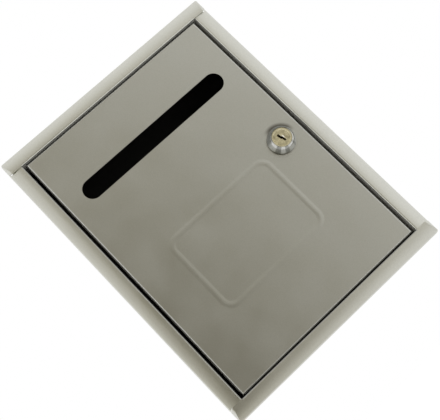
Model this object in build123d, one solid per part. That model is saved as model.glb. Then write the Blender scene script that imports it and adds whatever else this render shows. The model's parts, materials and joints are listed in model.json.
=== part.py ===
from build123d import *
import os
from math import cos, radians, sin

# Lockable sheet-steel mailbox, millimetres.
# +X right, +Z up, the front faces -Y, and the back lies on the wall at Y = 0.
# The origin is the centre of the back face.

# Driving sizes of the box
FACE_WIDTH = 200.0  # across the side rims
FACE_HEIGHT = 260.0  # across the end rims
BOX_DEPTH = 70.0  # wall to the front of the end rims
SHEET = 0.8
RIM_WIDTH = 11.8  # from the opening's edge to the outside of the rim
LAP_GAP = 0.05  # between two lapped sheets
CUT_MARGIN = 1.0  # how far a cutting solid runs past what it cuts
BEND_INNER = 0.3  # inside radius of every fold in the box

# Crowned rim: a wide arc from the opening outwards, then a tight lip turned towards the wall
CROWN_RADIUS = 28.0
CROWN_ANGLE = 20.0
LIP_RADIUS = 1.2
LIP_STRAIGHT = 1.2
RIM_END_RADIUS = 6.4  # rounded ends of the end rims, where they lap the side rims
RIM_END_OVERRUN = 2.3  # how far that rounding would run past the rim's end
RIM_END_LIP = 3.0  # radius of the lip turned down at each end of an end rim
RIM_TIP_RADIUS = 2.5
RIM_TUCK = 8.0  # how far a side rim runs on under an end rim
RIM_NOTCH = 2.6  # breadth of the side rim's edge that stops short of the end rim
RIM_NOTCH_GAP = 0.3

# Tabs of the end panels, inside the walls
TAB_DEPTH = 12.0
TAB_FRONT_SETBACK = 20.0
TAB_REAR_SETBACK = 6.0
TAB_FOLD_INNER = 0.4
REAR_TAB_MARGIN = 8.0

# Wall screw holes in the back
SCREW_SPACING_X = 110.0
SCREW_SPACING_Z = 160.0
SCREW_HOLE_RADIUS = 2.75

# Blind rivets
RIVET_SHANK_RADIUS = 1.6
RIVET_HEAD_RADIUS = 3.2
RIVET_HEAD_HEIGHT = 1.0
RIVET_TAIL_RADIUS = 2.4
RIVET_TAIL_LENGTH = 1.8
RIVET_HOLE_GAP = 0.05
HEAD_ROUNDING = 0.7  # share of a rivet head's height that is rounded off
TAIL_ROUNDING = 0.5
PANEL_RIVET_FRONT_SETBACK = 28.0
PANEL_RIVET_REAR_SETBACK = 16.0

# Door
DOOR_SIDE_GAP = 2.6
DOOR_END_GAP = 1.2
DOOR_RECESS = 1.0  # behind the side rims
DOOR_BEND_OUTER = 1.4
DOOR_FLANGE = 10.0
DOOR_HINGE_FLANGE = 7.5
DOOR_CORNER_RELIEF = 2.0
SLOT_LENGTH = 139.0
SLOT_WIDTH = 16.0
SLOT_HEIGHT = 68.8  # slot centre above the door's centre
BEAD_LENGTH = 96.0
BEAD_BREADTH = 66.0
BEAD_CORNER = 8.0
BEAD_CENTRE_X = -2.0
BEAD_CENTRE_Z = -34.0
BEAD_HEIGHT = 0.08
BEAD_BASE = 5.2
BEAD_TOP = 1.2

# Hinge
HINGE_FROM_EDGE = 6.0
HINGE_FROM_FRONT = 5.6
HINGE_PIN_RADIUS = 2.0
HINGE_FIT = 0.05
HINGE_HEAD_RADIUS = 3.6
HINGE_HEAD_HEIGHT = 1.2
HINGE_TAIL_RADIUS = 2.9
HINGE_TAIL_LENGTH = 1.2
HINGE_TAIL_GAP = 0.2
HINGE_WASHER_RADIUS = 3.0
HINGE_WASHER_GAP = 0.1

# Door stops on the right wall
STOP_SHEET = 1.0
STOP_REACH = 8.0
STOP_BASE = 12.0
STOP_WIDTH = 16.0
STOP_FROM_END = 29.8  # from the end of the opening to the middle of a stop
STOP_GAP = 0.3
STOP_FOLD_INNER = 0.6

# Lock keeper on the right wall
KEEPER_SHEET = 1.2
KEEPER_REACH = 11.8
KEEPER_BASE = 14.6
KEEPER_WIDTH = 26.0
KEEPER_FOLD_INNER = 0.6
KEEPER_RIVET_SPACING = 16.0
KEEPER_TO_CAM = 0.6

# Cam lock, measured inward from the front face of the door
LOCK_FROM_EDGE = 19.4
LOCK_HEIGHT = -0.5
LOCK_LEAN = 10.0  # the lock sits this many degrees off upright in the door
LOCK_HEAD_RADIUS = 11.2
LOCK_HEAD_TOP_RADIUS = 8.0
LOCK_HEAD_HEIGHT = 7.0
LOCK_HEAD_STEP = 1.2
LOCK_HEAD_BULGE = 0.35
BARREL_RADIUS = 9.0
BARREL_FLAT = 8.0
BARREL_LENGTH = 16.0
BARREL_HOLE_GAP = 0.1
PLUG_FIT = 0.05
PLUG_RADIUS = 5.5
PLUG_FACE_RADIUS = 7.6
PLUG_FACE_SEAT = 2.2
PLUG_FACE_RIM = 1.1
PLUG_FACE_DISH = 0.4
PLUG_END_PLAY = 0.1
SHOULDER_GAP = 0.3
KEYWAY_WIDTH = 1.4
KEYWAY_HEIGHT = 7.4
KEYWAY_DEPTH = 18.0
KEYWAY_STEP = 0.6  # sideways, between its upper and lower halves
KEYWAY_LAP = 1.4  # height over which the two halves overlap
KEYWAY_MOUTH = 0.5  # depth and breadth of the bevel at its mouth
DRIVE_SIDE = 6.0
DRIVE_GAP = 0.05
CLAMP_GAP = 0.05

WAFER_COUNT = 5
WAFER_PITCH = 2.3
WAFER_FIRST = 1.0
WAFER_SHEET = 0.7
WAFER_WIDTH = 5.0
WAFER_HEIGHT = 9.2
WAFER_GAP = 0.05
WAFER_WINDOW_WIDTH = 2.2
WAFER_WINDOW_HEIGHT = 5.4
WAFER_EAR = 1.3
WAFER_EAR_HEIGHT = 0.8
WAFER_CUT_STEP = 0.3  # between the three window places that the key's cuts use
SPRING_RADIUS = 0.45
SPRING_WIRE = 0.12  # from the wire's middle to its corners
SPRING_WIRE_SIDES = 8
SPRING_LENGTH = 2.0
SPRING_TURNS = 5
SPRING_POCKET_GAP = 0.15

NUT_FLATS = 24.0
NUT_THICKNESS = 3.0
NUT_CHAMFER = 0.8
NUT_CHAMFER_REACH = 1.28
NUT_GAP = 0.05
LOCK_WASHER_THICKNESS = 0.8
LOCK_WASHER_RADIUS = 10.8
LOCK_WASHER_TOOTH = 1.6
LOCK_WASHER_TOOTH_WIDTH = 2.0
LOCK_WASHER_TEETH = 12

STOP_LUG_ANGLE = 60.0
STOP_LUG_INNER = 6.6
STOP_LUG_HEIGHT = 1.2
STOP_DISC_RADIUS = 8.4
STOP_DISC_THICKNESS = 1.0
STOP_LUG_GAP = 0.3
STOP_PLAY_ANGLE = 2.0
LOCK_TURN = 90.0

CAM_THICKNESS = 2.0
CAM_HUB_RADIUS = 8.0
CAM_REACH = 18.5
CAM_WIDTH = 12.0
CAM_CORNER = 2.0
CAM_WASHER_RADIUS = 3.6
CAM_WASHER_THICKNESS = 0.9
CAM_WASHER_SPLIT = 0.6
CAM_WASHER_SPLIT_ANGLE = 30.0
SCREW_RADIUS = 2.0
SCREW_HEAD_RADIUS = 3.6
SCREW_HEAD_HEIGHT = 2.4
SCREW_LENGTH = 7.0
SCREW_TIP_CHAMFER = 0.5
SCREW_FIT = 0.05
SCREW_RECESS_DEPTH = 1.2
SCREW_RECESS_WIDTH = 0.9
SCREW_RECESS_LENGTH = 3.6

# Places worked out from the driving sizes
FRONT_Y = -BOX_DEPTH
SIDE_LAYER = SHEET + LAP_GAP
SIDE_FRONT_Y = FRONT_Y + SIDE_LAYER
CROWN_BREADTH = (CROWN_RADIUS - LIP_RADIUS) * sin(radians(CROWN_ANGLE))
OPEN_X = FACE_WIDTH / 2 - RIM_WIDTH
OPEN_Z = FACE_HEIGHT / 2 - RIM_WIDTH
BEND_OUTER = BEND_INNER + SHEET
WALL_TOP_Z = OPEN_Z + SHEET
PANEL_HALF_X = OPEN_X - 2 * LAP_GAP
TAB_FRONT_Y = FRONT_Y + TAB_FRONT_SETBACK
TAB_REAR_Y = -TAB_REAR_SETBACK
PANEL_RIVET_Z = OPEN_Z - TAB_DEPTH / 2
DOOR_HALF_X = OPEN_X - DOOR_SIDE_GAP
DOOR_HALF_Z = OPEN_Z - DOOR_END_GAP
DOOR_Y = SIDE_FRONT_Y + DOOR_RECESS
HINGE_X = -DOOR_HALF_X + HINGE_FROM_EDGE
HINGE_Y = DOOR_Y + HINGE_FROM_FRONT
STOP_Y = DOOR_Y + DOOR_FLANGE + STOP_GAP
STOP_Z = OPEN_Z - STOP_FROM_END
LOCK_X = DOOR_HALF_X - LOCK_FROM_EDGE
SHOULDER = BARREL_LENGTH + SHOULDER_GAP
CAM_FRONT = SHOULDER + STOP_DISC_THICKNESS + CLAMP_GAP
CAM_REAR = CAM_FRONT + CAM_THICKNESS
KEEPER_Y = DOOR_Y + CAM_FRONT - KEEPER_TO_CAM - KEEPER_SHEET
REACH_ALL = FACE_WIDTH + FACE_HEIGHT

# The lock is drawn about its own axis: local Z runs into the box, local X is
# the box's right, and local Y is down.
LOCK_RIGHT = (cos(radians(LOCK_LEAN)), 0, sin(radians(LOCK_LEAN)))
LOCK_FRAME = Plane(origin=(LOCK_X, DOOR_Y, LOCK_HEIGHT), x_dir=LOCK_RIGHT, z_dir=(0, 1, 0))


def block(x0, x1, y0, y1, z0, z1):
    """A box between two corners."""
    size = Box(abs(x1 - x0), abs(y1 - y0), abs(z1 - z0))
    return Pos((x0 + x1) / 2, (y0 + y1) / 2, (z0 + z1) / 2) * size


def ring(outer, inner, z0, z1):
    """A round disc with a round hole, about local Z."""
    disc = Pos(0, 0, (z0 + z1) / 2) * Cylinder(outer, z1 - z0)
    return disc - Pos(0, 0, (z0 + z1) / 2) * Cylinder(inner, z1 - z0 + 2 * CUT_MARGIN)


def closed_face(*edges):
    """A flat face inside a closed chain of edges."""
    return make_face(Curve() + list(edges))


def crown_start(half):
    """Where the crown leaves the flat, on a face that is 2 * half across."""
    return half - LIP_RADIUS - CROWN_BREADTH


def crowned_outline(half, front, offset):
    """Section of the filled volume behind a crowned face, its surface set in by offset."""
    crown_u, crown_v = crown_start(half), front + CROWN_RADIUS
    lip_u = half - LIP_RADIUS
    lip_v = crown_v - (CROWN_RADIUS - LIP_RADIUS) * cos(radians(CROWN_ANGLE))
    big, small = CROWN_RADIUS - offset, LIP_RADIUS - offset

    def at(u, v, radius, angle):
        return (u + radius * sin(radians(angle)), v - radius * cos(radians(angle)))

    half_points = [
        (crown_u, crown_v - big),
        at(crown_u, crown_v, big, CROWN_ANGLE / 2),
        at(crown_u, crown_v, big, CROWN_ANGLE),
        at(lip_u, lip_v, small, (CROWN_ANGLE + 90) / 2),
        (lip_u + small, lip_v),
        (lip_u + small, lip_v + LIP_STRAIGHT),
    ]
    a, b, c, d, e, f = half_points
    g, h, i, j, k, m = [(-u, v) for u, v in half_points]
    return closed_face(
        Line(g, a),
        ThreePointArc(a, b, c),
        ThreePointArc(c, d, e),
        Line(e, f),
        Line(f, m),
        Line(m, k),
        ThreePointArc(k, j, i),
        ThreePointArc(i, h, g),
    )


def side_hood(offset):
    """The volume behind the side rims, run upright."""
    return extrude(crowned_outline(FACE_WIDTH / 2, SIDE_FRONT_Y, offset), REACH_ALL, both=True)


def end_hood(offset):
    """The volume behind the end rims, run across and closed by a turned lip at each end."""
    across = extrude(crowned_outline(FACE_HEIGHT / 2, FRONT_Y, offset), REACH_ALL, both=True)
    half_x, deep = FACE_WIDTH / 2 - offset, FRONT_Y + RIM_WIDTH
    between = block(-half_x, half_x, FRONT_Y + offset, deep, -FACE_HEIGHT, FACE_HEIGHT)
    front_edges = between.edges().filter_by(Axis.Z).group_by(Axis.Y)[0]
    return Rot(0, 90, 0) * across & fillet(front_edges, RIM_END_LIP - offset)


def end_rim_plan():
    """The upper end rim as seen from the front, rounded at both ends."""
    height = FACE_HEIGHT / 2 - OPEN_Z
    rounded = Rectangle(FACE_WIDTH + 2 * RIM_END_OVERRUN, height)
    rounded = fillet(rounded.vertices().group_by(Axis.Y)[0], RIM_END_RADIUS)
    limits = Rectangle(FACE_WIDTH, height)
    limits = fillet(limits.vertices().group_by(Axis.Y)[-1], RIM_TIP_RADIUS)
    return Pos(0, OPEN_Z + height / 2) * (rounded & limits)


def plan_cut(face):
    """A face drawn as seen from the front, run through the whole depth."""
    return extrude(Plane.XZ * face, REACH_ALL, both=True)


def folded(inner_points, outer_points, inner_radii, outer_radii):
    """The section of a folded sheet between two filleted outlines."""
    inner = FilletPolyline(*inner_points, radius=inner_radii)
    outer = FilletPolyline(*outer_points, radius=outer_radii)
    return closed_face(
        *inner.edges(),
        *outer.edges(),
        Line(inner_points[0], outer_points[0]),
        Line(inner_points[-1], outer_points[-1]),
    )


def bracket_section(reach, base, sheet, fold_inner):
    """An angle bracket: a leg towards the box's middle and a base along the wall."""
    fold_outer = fold_inner + sheet
    return folded(
        [(-reach, sheet), (-sheet, sheet), (-sheet, base)],
        [(-reach, 0), (0, 0), (0, base)],
        [fold_inner],
        [fold_outer],
    )


def rivet(grip):
    """A blind rivet about local Z: domed head outside at z > 0, tail at z < -grip."""
    head = Pos(0, 0, RIVET_HEAD_HEIGHT / 2) * Cylinder(RIVET_HEAD_RADIUS, RIVET_HEAD_HEIGHT)
    head = fillet(head.edges().group_by(Axis.Z)[-1], RIVET_HEAD_HEIGHT * HEAD_ROUNDING)
    shank = Pos(0, 0, -grip / 2) * Cylinder(RIVET_SHANK_RADIUS, grip)
    tail = Pos(0, 0, -grip - RIVET_TAIL_LENGTH / 2) * Cylinder(RIVET_TAIL_RADIUS, RIVET_TAIL_LENGTH)
    tail = fillet(tail.edges().group_by(Axis.Z)[0], RIVET_TAIL_LENGTH * TAIL_ROUNDING)
    return head + shank + tail


def side_rivet(side, y, z, grip):
    """A rivet through a side wall, its head outside; side is -1 left or 1 right."""
    place = Plane(origin=(side * (OPEN_X + SHEET), y, z), z_dir=(side, 0, 0))
    return place * rivet(grip)


def rivet_hole(side, y, z):
    """The hole that a side rivet passes through."""
    place = Plane(origin=(side * OPEN_X, y, z), z_dir=(side, 0, 0))
    return place * Cylinder(RIVET_SHANK_RADIUS + RIVET_HOLE_GAP, KEEPER_BASE)


def panel_rivet_places():
    """Side, Y and unsigned Z of the rivets of one end panel."""
    rows = (FRONT_Y + PANEL_RIVET_FRONT_SETBACK, -PANEL_RIVET_REAR_SETBACK)
    return [(side, y, PANEL_RIVET_Z) for side in (-1, 1) for y in rows]


def keeper_rivet_places():
    y = KEEPER_Y + (KEEPER_BASE + KEEPER_SHEET + KEEPER_FOLD_INNER) / 2
    return [(1, y, LOCK_HEIGHT + s * KEEPER_RIVET_SPACING / 2) for s in (-1, 1)]


def stop_rivet_places():
    y = STOP_Y + (STOP_BASE + STOP_SHEET + STOP_FOLD_INNER) / 2
    return [(1, y, s * STOP_Z) for s in (-1, 1)]


def body_wrap():
    """Side walls, back and side rims, folded from one sheet."""
    stub = crown_start(FACE_WIDTH / 2)
    front, behind = SIDE_FRONT_Y, SIDE_FRONT_Y + SHEET
    x_in, x_out = OPEN_X, OPEN_X + SHEET
    section = folded(
        [(-stub, front), (-x_in, front), (-x_in, -SHEET), (x_in, -SHEET), (x_in, front), (stub, front)],
        [(-stub, behind), (-x_out, behind), (-x_out, 0), (x_out, 0), (x_out, behind), (stub, behind)],
        [BEND_OUTER, BEND_INNER, BEND_INNER, BEND_OUTER],
        [BEND_INNER, BEND_OUTER, BEND_OUTER, BEND_INNER],
    )
    walls = extrude(section, WALL_TOP_Z, both=True)
    rims = side_hood(0) - side_hood(SHEET)
    # Each side rim runs on under the end rims, its inner corners mitred.
    half = [
        (OPEN_X + BEND_OUTER, OPEN_Z + BEND_OUTER),
        (OPEN_X + RIM_TUCK, OPEN_Z + RIM_TUCK),
        (FACE_WIDTH, OPEN_Z + RIM_TUCK),
    ]
    right = Polygon(*half, *[(x, -z) for x, z in reversed(half)], align=None)
    keep = plan_cut(right + mirror(right, Plane.YZ))
    # Its outer edge stops short of the turned-down end of the end rim.
    edge_x = FACE_WIDTH / 2 - RIM_NOTCH
    end = offset(end_rim_plan(), RIM_NOTCH_GAP) - Rectangle(2 * edge_x, REACH_ALL)
    wrap = walls + (rims & keep) - plan_cut(end + mirror(end, Plane.XZ))
    for x in (-SCREW_SPACING_X / 2, SCREW_SPACING_X / 2):
        for z in (-SCREW_SPACING_Z / 2, SCREW_SPACING_Z / 2):
            wrap -= Pos(x, 0, z) * Rot(90, 0, 0) * Cylinder(SCREW_HOLE_RADIUS, 4 * SHEET)
    holes = keeper_rivet_places() + stop_rivet_places()
    for side, y, z in panel_rivet_places():
        holes += [(side, y, z), (side, y, -z)]
    for place in holes:
        wrap -= rivet_hole(*place)
    return wrap


def end_panel():
    """Top wall with its front rim, two side tabs and a rear tab."""
    rim = end_hood(0) - end_hood(SHEET)
    inner_edge = Pos(0, OPEN_Z) * Rectangle(2 * PANEL_HALF_X, 2 * BEND_OUTER)
    rim &= plan_cut(end_rim_plan() - inner_edge)
    rear_y = -SHEET - LAP_GAP
    stub_z = crown_start(FACE_HEIGHT / 2)
    section = folded(
        [(FRONT_Y, stub_z), (FRONT_Y, OPEN_Z), (rear_y, OPEN_Z)],
        [(FRONT_Y + SHEET, stub_z), (FRONT_Y + SHEET, WALL_TOP_Z), (rear_y, WALL_TOP_Z)],
        [BEND_OUTER],
        [BEND_INNER],
    )
    wall = extrude(Plane.YZ * section, PANEL_HALF_X, both=True)
    fold_outer = TAB_FOLD_INNER + SHEET
    stub = fold_outer + SHEET
    tab_low = OPEN_Z - TAB_DEPTH
    side_section = folded(
        [(PANEL_HALF_X - stub, OPEN_Z), (PANEL_HALF_X - SHEET, OPEN_Z), (PANEL_HALF_X - SHEET, tab_low)],
        [(PANEL_HALF_X - stub, WALL_TOP_Z), (PANEL_HALF_X, WALL_TOP_Z), (PANEL_HALF_X, tab_low)],
        [TAB_FOLD_INNER],
        [fold_outer],
    )
    rear_section = folded(
        [(rear_y - stub, OPEN_Z), (rear_y - SHEET, OPEN_Z), (rear_y - SHEET, tab_low)],
        [(rear_y - stub, WALL_TOP_Z), (rear_y, WALL_TOP_Z), (rear_y, tab_low)],
        [TAB_FOLD_INNER],
        [fold_outer],
    )
    tab_length = TAB_REAR_Y - TAB_FRONT_Y
    right_tab = Pos(0, (TAB_FRONT_Y + TAB_REAR_Y) / 2, 0) * extrude(
        Plane.XZ * side_section, tab_length / 2, both=True
    )
    left_tab = mirror(right_tab, Plane.YZ)
    rear_half = PANEL_HALF_X - REAR_TAB_MARGIN
    rear_tab = extrude(Plane.YZ * rear_section, rear_half, both=True)
    # The wall is trimmed where the folds take over from it.
    for side in (-1, 1):
        x0, x1 = side * (PANEL_HALF_X - fold_outer), side * (PANEL_HALF_X + SHEET)
        wall -= block(x0, x1, TAB_FRONT_Y, TAB_REAR_Y, OPEN_Z - SHEET, WALL_TOP_Z + SHEET)
    wall -= block(-rear_half, rear_half, rear_y - fold_outer, rear_y, OPEN_Z - SHEET, WALL_TOP_Z + SHEET)
    rear_edges = wall.edges().filter_by(Axis.Z).filter_by(lambda e: e.center().Y > TAB_REAR_Y + LAP_GAP)
    wall = fillet(rear_edges.filter_by(lambda e: abs(e.center().X) > rear_half + LAP_GAP), BEND_INNER)
    panel = rim + wall + right_tab + left_tab + rear_tab
    for place in panel_rivet_places():
        panel -= rivet_hole(*place)
    panel -= Pos(HINGE_X, HINGE_Y, OPEN_Z) * Cylinder(HINGE_PIN_RADIUS + HINGE_FIT, 6 * SHEET)
    return panel


def end_panel_rivets():
    grip = 2 * SHEET + 2 * LAP_GAP
    return Compound(children=[side_rivet(side, y, z, grip) for side, y, z in panel_rivet_places()])


def hinge_pin():
    """Shouldered rivet through the top wall, the spacer and the door's flange."""
    tail_top = DOOR_HALF_Z - SHEET - HINGE_TAIL_GAP
    tail_low = tail_top - HINGE_TAIL_LENGTH
    head = Pos(0, 0, WALL_TOP_Z + HINGE_HEAD_HEIGHT / 2) * Cylinder(HINGE_HEAD_RADIUS, HINGE_HEAD_HEIGHT)
    head = fillet(head.edges().group_by(Axis.Z)[-1], HINGE_HEAD_HEIGHT * HEAD_ROUNDING)
    shank = Pos(0, 0, (WALL_TOP_Z + tail_top) / 2) * Cylinder(HINGE_PIN_RADIUS, WALL_TOP_Z - tail_top)
    tail = Pos(0, 0, (tail_top + tail_low) / 2) * Cylinder(HINGE_TAIL_RADIUS, HINGE_TAIL_LENGTH)
    tail = fillet(tail.edges().group_by(Axis.Z)[0], HINGE_TAIL_LENGTH * TAIL_ROUNDING)
    return Pos(HINGE_X, HINGE_Y, 0) * (head + shank + tail)


def hinge_washer():
    """Plastic spacer that fills the gap between the top wall and the door."""
    inner = HINGE_PIN_RADIUS + HINGE_WASHER_GAP
    low, high = DOOR_HALF_Z + HINGE_WASHER_GAP, OPEN_Z - HINGE_WASHER_GAP
    return Pos(HINGE_X, HINGE_Y, 0) * ring(HINGE_WASHER_RADIUS, inner, low, high)


def door_stop(sign):
    """Angle on the right wall that the door's flange closes against."""
    section = bracket_section(STOP_REACH, STOP_BASE, STOP_SHEET, STOP_FOLD_INNER)
    stop = extrude(section, STOP_WIDTH / 2, both=True)
    stop = Pos(OPEN_X - LAP_GAP, STOP_Y, sign * STOP_Z) * stop
    for place in stop_rivet_places():
        stop -= rivet_hole(*place)
    return stop


def latch_keeper():
    """Angle on the right wall that the turned cam lies behind."""
    section = bracket_section(KEEPER_REACH, KEEPER_BASE, KEEPER_SHEET, KEEPER_FOLD_INNER)
    keeper = extrude(section, KEEPER_WIDTH / 2, both=True)
    keeper = Pos(OPEN_X - LAP_GAP, KEEPER_Y, LOCK_HEIGHT) * keeper
    for place in keeper_rivet_places():
        keeper -= rivet_hole(*place)
    return keeper


def bead_section(base, top, height, sink):
    """A flat-topped bead about the origin, rising along +Y from -sink to height."""
    return Polygon(
        (-base / 2, -sink),
        (base / 2, -sink),
        (base / 2, 0),
        (top / 2, height),
        (-top / 2, height),
        (-base / 2, 0),
        align=None,
    )


def bead(base, top, height, sink):
    """The bead run round a rounded rectangle, on the plane Z = 0, rising along +Z."""
    path = RectangleRounded(BEAD_LENGTH, BEAD_BREADTH, BEAD_CORNER).wire()
    start = path @ 0
    section_plane = Plane(origin=start, x_dir=Vector(0, 0, 1).cross(path % 0), z_dir=path % 0)
    return sweep(section_plane * bead_section(base, top, height, sink), path)


def door_panel():
    """Folded pan with its letter slot, lock hole, hinge holes and stiffening bead."""

    def pan(inset, depth):
        body = block(
            -DOOR_HALF_X + inset, DOOR_HALF_X - inset, DOOR_Y + inset, DOOR_Y + depth,
            -DOOR_HALF_Z + inset, DOOR_HALF_Z - inset,
        )
        return fillet(body.faces().sort_by(Axis.Y)[0].edges(), DOOR_BEND_OUTER - inset)

    rear = DOOR_Y + DOOR_FLANGE
    door = pan(0, DOOR_FLANGE) - pan(SHEET, DOOR_FLANGE + SHEET)
    # The hinge side's flange is shorter, so that it clears the wall as it turns.
    left_in = -DOOR_HALF_X + DOOR_CORNER_RELIEF
    door -= block(-DOOR_HALF_X, left_in, DOOR_Y + DOOR_HINGE_FLANGE, rear, -OPEN_Z, OPEN_Z)
    for sx in (-1, 1):
        for sz in (-1, 1):
            x, z = sx * DOOR_HALF_X, sz * DOOR_HALF_Z
            door -= block(
                x, x - sx * DOOR_CORNER_RELIEF, DOOR_Y + DOOR_BEND_OUTER, rear,
                z, z - sz * DOOR_CORNER_RELIEF,
            )
    slot = SlotOverall(SLOT_LENGTH, SLOT_WIDTH)
    through = 4 * DOOR_BEND_OUTER
    door -= Plane(origin=(0, DOOR_Y, SLOT_HEIGHT), x_dir=(1, 0, 0), z_dir=(0, -1, 0)) * extrude(
        slot, through / 2, both=True
    )
    barrel = Circle(BARREL_RADIUS + BARREL_HOLE_GAP) & Rectangle(
        2 * (BARREL_FLAT + BARREL_HOLE_GAP), 4 * BARREL_RADIUS
    )
    door -= LOCK_FRAME * extrude(barrel, through / 2, both=True)
    hole_radius = HINGE_PIN_RADIUS + HINGE_FIT
    for sign in (-1, 1):
        door -= Pos(HINGE_X, HINGE_Y, sign * DOOR_HALF_Z) * Cylinder(hole_radius, 4 * SHEET)
    front = Plane(origin=(BEAD_CENTRE_X, DOOR_Y, BEAD_CENTRE_Z), x_dir=(1, 0, 0), z_dir=(0, -1, 0))
    behind = front.offset(-SHEET)
    thin = SHEET / 2
    door += front * bead(BEAD_BASE, BEAD_TOP, BEAD_HEIGHT, thin / 2)
    door -= behind * bead(BEAD_BASE - SHEET, BEAD_TOP - thin, BEAD_HEIGHT, thin)
    return door


def lock_housing():
    """Chromed head and barrel, one casting, with the stop lug on its rear end."""
    top, base, step = LOCK_HEAD_TOP_RADIUS, LOCK_HEAD_RADIUS, LOCK_HEAD_STEP
    bore, seat = PLUG_RADIUS + PLUG_FIT, PLUG_FACE_RADIUS + PLUG_FIT
    cone_top = (top, -LOCK_HEAD_HEIGHT)
    cone_low = (base, -step)
    cone_mid = ((top + base) / 2 + LOCK_HEAD_BULGE, -(LOCK_HEAD_HEIGHT + step) / 2 - LOCK_HEAD_BULGE)
    outline = [
        Line((seat, -LOCK_HEAD_HEIGHT), cone_top),
        ThreePointArc(cone_top, cone_mid, cone_low),
        Polyline(
            cone_low,
            (base, 0),
            (BARREL_RADIUS, 0),
            (BARREL_RADIUS, BARREL_LENGTH),
            (bore, BARREL_LENGTH),
            (bore, PLUG_FACE_SEAT - LOCK_HEAD_HEIGHT),
            (seat, PLUG_FACE_SEAT - LOCK_HEAD_HEIGHT),
            (seat, -LOCK_HEAD_HEIGHT),
        ),
    ]
    section = closed_face(outline[0], outline[1], *outline[2].edges())
    housing = revolve(Plane.XZ * section, Axis.Z)
    for side in (-1, 1):
        x0, x1 = side * BARREL_FLAT, side * (BARREL_RADIUS + CUT_MARGIN)
        housing -= block(x0, x1, -BARREL_RADIUS, BARREL_RADIUS, 0, BARREL_LENGTH)
    lug = ring(STOP_DISC_RADIUS, STOP_LUG_INNER, BARREL_LENGTH - SHEET, BARREL_LENGTH + STOP_LUG_HEIGHT)
    lug &= wedge(-90 - STOP_LUG_ANGLE / 2, STOP_LUG_ANGLE)
    return housing + lug


def wedge(start, angle):
    """A pie slice about local Z, from a start angle, both in degrees."""
    steps = 6
    points = [(0, 0)]
    for i in range(steps + 1):
        turn = radians(start + angle * i / steps)
        points.append((3 * LOCK_HEAD_RADIUS * cos(turn), 3 * LOCK_HEAD_RADIUS * sin(turn)))
    return extrude(Polygon(*points, align=None), 3 * BARREL_LENGTH, both=True)


def wafer_place(index):
    """Local Z of a wafer's middle."""
    return WAFER_FIRST + WAFER_PITCH * index


def spring_x():
    return WAFER_WIDTH / 2 + WAFER_GAP + SPRING_POCKET_GAP + SPRING_RADIUS + SPRING_WIRE


def keyway(face_z):
    """A stepped keyway with a bevelled mouth; up is local -Y."""
    half_h, half_w, lap = KEYWAY_HEIGHT / 2, KEYWAY_WIDTH / 2, KEYWAY_LAP / 2
    shift, deep = KEYWAY_STEP / 2, face_z + KEYWAY_DEPTH
    mouth = face_z + KEYWAY_MOUTH
    flare = half_w + KEYWAY_MOUTH
    bevel = Polygon((-flare, face_z), (flare, face_z), (half_w, mouth), (-half_w, mouth), align=None)
    halves = []
    for sign in (-1, 1):
        y0, y1, x = sign * half_h, -sign * lap, sign * shift
        slot = block(x - half_w, x + half_w, y0, y1, face_z - CUT_MARGIN, deep)
        opening = extrude(Plane.XZ * bevel, abs(y1 - y0) / 2, both=True)
        halves.append(slot + Pos(x, (y0 + y1) / 2, 0) * opening)
    return halves[0] + halves[1]


def lock_plug():
    """Brass cylinder: dished face, keyway, wafer slots, square drive, tapped end."""
    face_z = -LOCK_HEAD_HEIGHT - PLUG_END_PLAY
    seat_z = PLUG_FACE_SEAT - LOCK_HEAD_HEIGHT - PLUG_END_PLAY
    rim_in = PLUG_FACE_RADIUS - PLUG_FACE_RIM
    edge = PLUG_FACE_DISH / 2
    section = Polygon(
        (0, face_z + PLUG_FACE_DISH),
        (rim_in - PLUG_FACE_DISH, face_z + PLUG_FACE_DISH),
        (rim_in, face_z),
        (PLUG_FACE_RADIUS - edge, face_z),
        (PLUG_FACE_RADIUS, face_z + edge),
        (PLUG_FACE_RADIUS, seat_z),
        (PLUG_RADIUS, seat_z),
        (PLUG_RADIUS, SHOULDER),
        (0, SHOULDER),
        align=None,
    )
    plug = revolve(Plane.XZ * section, Axis.Z)
    drive_end = CAM_REAR - 3 * CLAMP_GAP
    plug += block(
        -DRIVE_SIDE / 2, DRIVE_SIDE / 2, -DRIVE_SIDE / 2, DRIVE_SIDE / 2, SHOULDER - SHEET, drive_end
    )
    plug -= keyway(face_z + PLUG_FACE_DISH)
    half_w = WAFER_WIDTH / 2 + WAFER_GAP
    half_t = WAFER_SHEET / 2 + WAFER_GAP
    pocket_t = SPRING_RADIUS + SPRING_WIRE + SPRING_POCKET_GAP
    pocket_x = spring_x() + pocket_t
    pocket_low = -SPRING_LENGTH / 2 - WAFER_EAR_HEIGHT - 4 * SPRING_POCKET_GAP
    pocket_high = SPRING_LENGTH / 2 + SPRING_POCKET_GAP
    for index in range(WAFER_COUNT):
        z = wafer_place(index)
        plug -= block(-half_w, half_w, -PLUG_RADIUS, PLUG_RADIUS, z - half_t, z + half_t)
        plug -= block(0, pocket_x, pocket_low, pocket_high, z - pocket_t, z + pocket_t)
    screw_hole = SCREW_RADIUS + SCREW_FIT
    hole_start = CAM_REAR - SCREW_LENGTH - SCREW_FIT
    plug -= Pos(0, 0, (hole_start + CAM_REAR) / 2) * Cylinder(screw_hole, CAM_REAR - hole_start)
    return LOCK_FRAME * plug


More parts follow.
